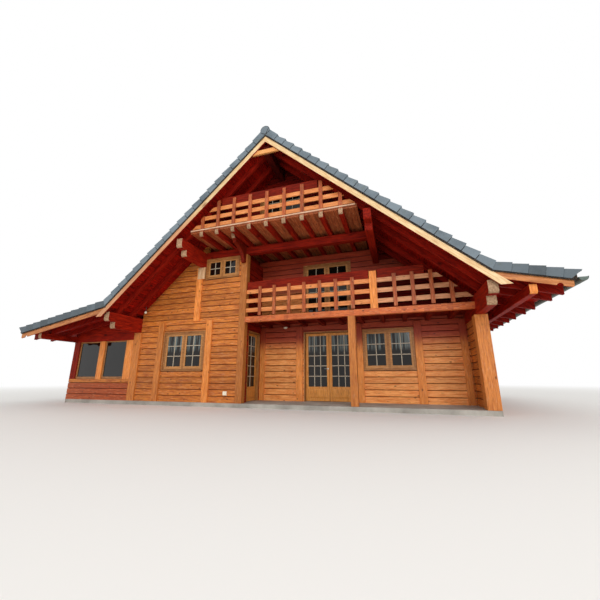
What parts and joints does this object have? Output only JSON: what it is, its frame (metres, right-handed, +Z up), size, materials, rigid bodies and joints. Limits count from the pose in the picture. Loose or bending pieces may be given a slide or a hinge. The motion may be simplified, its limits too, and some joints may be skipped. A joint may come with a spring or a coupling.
{
  "type": "alpine chalet",
  "caption": "Timber chalet with a kicked gable roof on stacked purlins, a recessed porch, a loggia, an attic balcony and a glazed annex; its doors open inwards.",
  "frame": {"origin": "on the underside of the floor slab, under the ridge line and halfway between the front and back walls", "axes": "+X to the right along the front, +Y from the front gable to the back gable, +Z up"},
  "size_m": [16.085, 11.9, 8.2701],
  "materials": {
    "concrete": "cast concrete, float finish",
    "wall_timber": "squared spruce timbers, honey stain",
    "post_timber": "planed spruce posts, honey stain",
    "beam_timber": "planed spruce beams, red-brown stain",
    "soffit_timber": "planed spruce boards, mahogany stain",
    "railing_timber": "planed spruce slats, honey stain",
    "box_timber": "spruce boards, mahogany stain",
    "pine": "planed pine, clear coat",
    "roof_tile": "flat blue-grey concrete tiles, matt",
    "gutter_metal": "dark grey-green coated sheet",
    "joinery": "larch joinery, clear satin coat",
    "glass": "clear double glazing",
    "handle_metal": "brushed steel lever"
  },
  "bodies": {
    "house": {"floor_slab": "concrete", "first_floor": "soffit_timber", "balcony_deck": "beam_timber", "attic_floor": "soffit_timber", "attic_joists": "beam_timber", "front_wall_left": "wall_timber", "porch_side_wall": "wall_timber", "loggia_side_wall": "wall_timber", "porch_back_wall": "wall_timber", "loggia_back_wall": "wall_timber", "left_wall": "wall_timber", "right_wall": "wall_timber", "back_wall": "wall_timber", "gable_wall": "wall_timber", "corner_posts": "post_timber", "wall_posts": "post_timber", "porch_post": "post_timber", "cross_beams": "beam_timber", "knee_braces": "beam_timber", "balcony_railing": "railing_timber", "attic_railing": "railing_timber", "flower_boxes": "box_timber", "wall_plates": "beam_timber", "mid_purlins": "beam_timber", "ridge_purlin": "beam_timber", "eave_purlins": "beam_timber", "rafters_left": "soffit_timber", "rafters_right": "soffit_timber", "soffit_boards": "soffit_timber", "roof_left": "roof_tile", "roof_right": "roof_tile", "ridge_cap": "roof_tile", "bargeboards_front": "pine", "bargeboards_back": "pine", "gutter": "gutter_metal", "annex_foot_walls": "wall_timber", "annex_frame": "post_timber", "annex_glass": "glass", "window_frames": "joinery", "window_glass": "glass", "door_frames": "joinery"},
    "left_leaf": {"french_door_left": "joinery", "french_glass_left": "glass", "door_handle": "handle_metal"},
    "right_leaf": {"french_door_right": "joinery", "french_glass_right": "glass"},
    "side_leaf": {"side_door": "joinery", "side_door_glass": "glass"}
  },
  "joints": [
    {"name": "left_leaf_hinge", "type": "hinge", "parent": "house", "child": "left_leaf", "pos_m": [0.356, -2.88, 1.2], "axis": [0, 0, 1], "range_deg": [0, 90]},
    {"name": "right_leaf_hinge", "type": "hinge", "parent": "house", "child": "right_leaf", "pos_m": [1.954, -2.88, 1.2], "axis": [0, 0, -1], "range_deg": [0, 90]},
    {"name": "side_leaf_hinge", "type": "hinge", "parent": "house", "child": "side_leaf", "pos_m": [-1.44, -3.181, 1.2], "axis": [0, 0, -1], "range_deg": [0, 90]}
  ]
}
